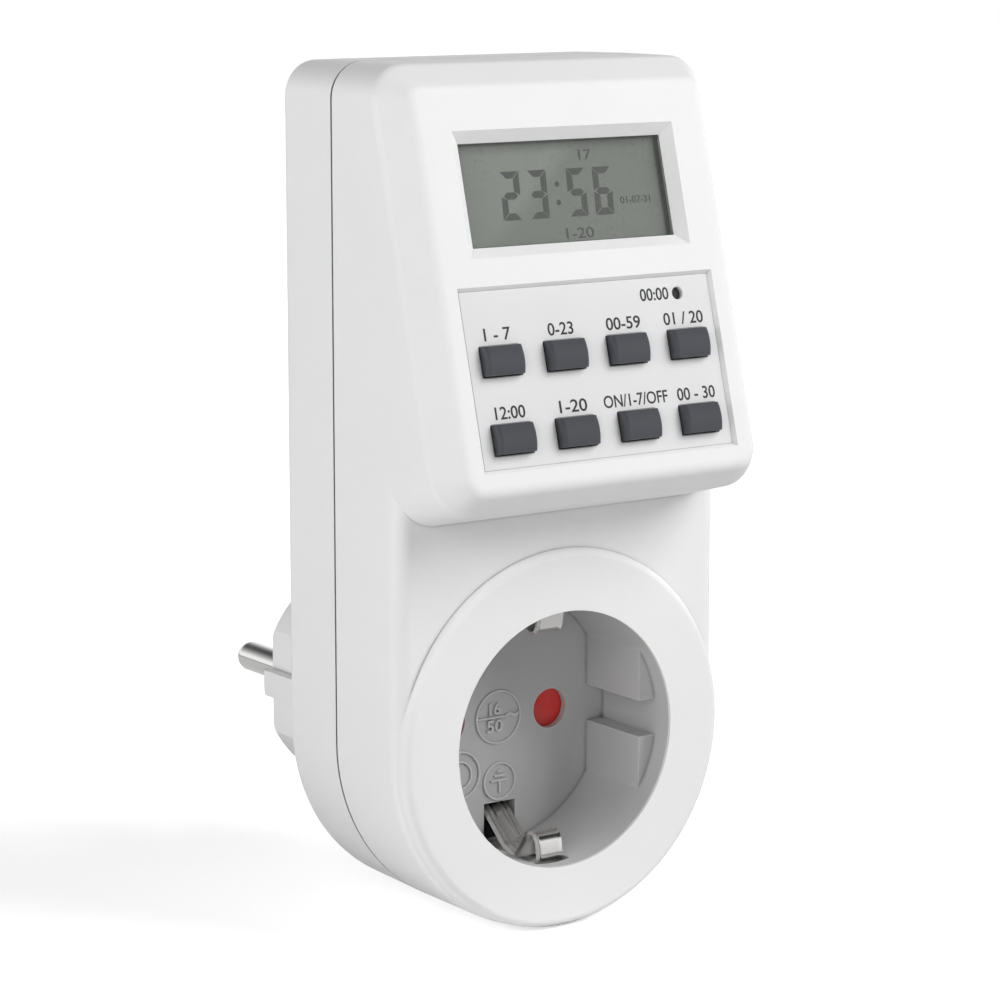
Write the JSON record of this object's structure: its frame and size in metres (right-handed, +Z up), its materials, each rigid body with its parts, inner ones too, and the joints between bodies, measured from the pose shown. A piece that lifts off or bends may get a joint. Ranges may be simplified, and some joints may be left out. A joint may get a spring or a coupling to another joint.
{
  "type": "plug-in timer",
  "caption": "Plug-in digital timer: a tilted display and key panel above a round earthed socket well, with a round pin plug on the back.",
  "frame": {"origin": "the point between the two plug pins on the plug face, which meets the wall socket's floor", "axes": "+Y along the plug pins into the wall, +Z up from the socket to the display, +X to the right as seen from the front"},
  "size_m": [0.0582, 0.089, 0.1292],
  "materials": {
    "white_plastic": "fine satin moulding",
    "grey_plastic": "fine satin moulding",
    "red_plastic": "satin moulding",
    "dark_plastic": "satin moulding",
    "inner_plastic": "satin moulding",
    "key_grey": "satin, soft edges",
    "switch_plastic": "satin moulding",
    "clear_window": "polished",
    "display_glass": "polished, grey-green",
    "dark_rubber": "matt",
    "nickelled_strip": "bright nickel on sprung brass",
    "nickelled_pin": "bright nickel on brass",
    "brass": "pressed strip",
    "board": "solder resist",
    "steel_screw": "zinc plated",
    "steel_can": "plain",
    "spring_steel": "drawn wire",
    "chip_black": "matt",
    "cable_grey": "satin",
    "capacitor_yellow": "gloss case",
    "capacitor_sleeve": "shrink sleeve",
    "varistor_blue": "dipped coating",
    "fuse_glass": "end caps and tube",
    "brown_wire": "insulation",
    "blue_wire": "insulation"
  },
  "bodies": {
    "housing": {"front_housing": "white_plastic", "rear_housing": "white_plastic", "socket_insert": "grey_plastic", "contact_carrier": "dark_plastic", "earth_bracket": "nickelled_strip", "plug_earth_strip": "nickelled_strip", "earth_post": "brass", "left_plug_pin": "nickelled_pin", "right_plug_pin": "nickelled_pin", "left_socket_contact": "brass", "right_socket_contact": "brass", "lcd_window": "clear_window", "lcd_glass": "display_glass", "lcd_frame": "inner_plastic", "zebra_strip": "dark_rubber", "display_board": "board", "display_board_screws": "steel_screw", "key_switches": "switch_plastic", "reset_switch": "switch_plastic", "controller_chip": "chip_black", "clock_crystal": "steel_can", "backup_battery": "steel_can", "board_cable": "cable_grey", "power_board": "board", "power_board_screws": "steel_screw", "relay": "dark_plastic", "film_capacitor": "capacitor_yellow", "round_capacitor": "capacitor_sleeve", "varistor": "varistor_blue", "fuse": "fuse_glass", "rectifier_diodes": "chip_black", "live_tab": "brass", "neutral_link": "brass", "live_in_wire": "brown_wire", "live_out_wire": "brown_wire", "neutral_wire": "blue_wire", "shutter_spring": "spring_steel", "carrier_screws": "steel_screw", "housing_screws": "steel_screw"},
    "key_day": {"key_day": "key_grey"},
    "key_hour": {"key_hour": "key_grey"},
    "key_minute": {"key_minute": "key_grey"},
    "key_recall": {"key_recall": "key_grey"},
    "key_clock": {"key_clock": "key_grey"},
    "key_program": {"key_program": "key_grey"},
    "key_mode": {"key_mode": "key_grey"},
    "key_random": {"key_random": "key_grey"},
    "reset": {"reset_button": "dark_plastic"},
    "shutter": {"pin_shutter": "red_plastic"}
  },
  "joints": [
    {"name": "key_day_press", "type": "slide", "parent": "housing", "child": "key_day", "axis": [0, 0.9657, -0.2597], "range_m": [0, 0.0006], "stiffness_N_per_m": 800},
    {"name": "key_hour_press", "type": "slide", "parent": "housing", "child": "key_hour", "axis": [0, 0.9657, -0.2597], "range_m": [0, 0.0006], "stiffness_N_per_m": 800},
    {"name": "key_minute_press", "type": "slide", "parent": "housing", "child": "key_minute", "axis": [0, 0.9657, -0.2597], "range_m": [0, 0.0006], "stiffness_N_per_m": 800},
    {"name": "key_recall_press", "type": "slide", "parent": "housing", "child": "key_recall", "axis": [0, 0.9657, -0.2597], "range_m": [0, 0.0006], "stiffness_N_per_m": 800},
    {"name": "key_clock_press", "type": "slide", "parent": "housing", "child": "key_clock", "axis": [0, 0.9657, -0.2597], "range_m": [0, 0.0006], "stiffness_N_per_m": 800},
    {"name": "key_program_press", "type": "slide", "parent": "housing", "child": "key_program", "axis": [0, 0.9657, -0.2597], "range_m": [0, 0.0006], "stiffness_N_per_m": 800},
    {"name": "key_mode_press", "type": "slide", "parent": "housing", "child": "key_mode", "axis": [0, 0.9657, -0.2597], "range_m": [0, 0.0006], "stiffness_N_per_m": 800},
    {"name": "key_random_press", "type": "slide", "parent": "housing", "child": "key_random", "axis": [0, 0.9657, -0.2597], "range_m": [0, 0.0006], "stiffness_N_per_m": 800},
    {"name": "reset_press", "type": "slide", "parent": "housing", "child": "reset", "axis": [0, 0.9657, -0.2597], "range_m": [0, 0.0003], "stiffness_N_per_m": 800},
    {"name": "shutter_turn", "type": "hinge", "parent": "housing", "child": "shutter", "pos_m": [0, -0.0383, 0], "axis": [0, 1, 0], "range_deg": [0, 42], "stiffness_Nm_per_rad": 0.001}
  ]
}
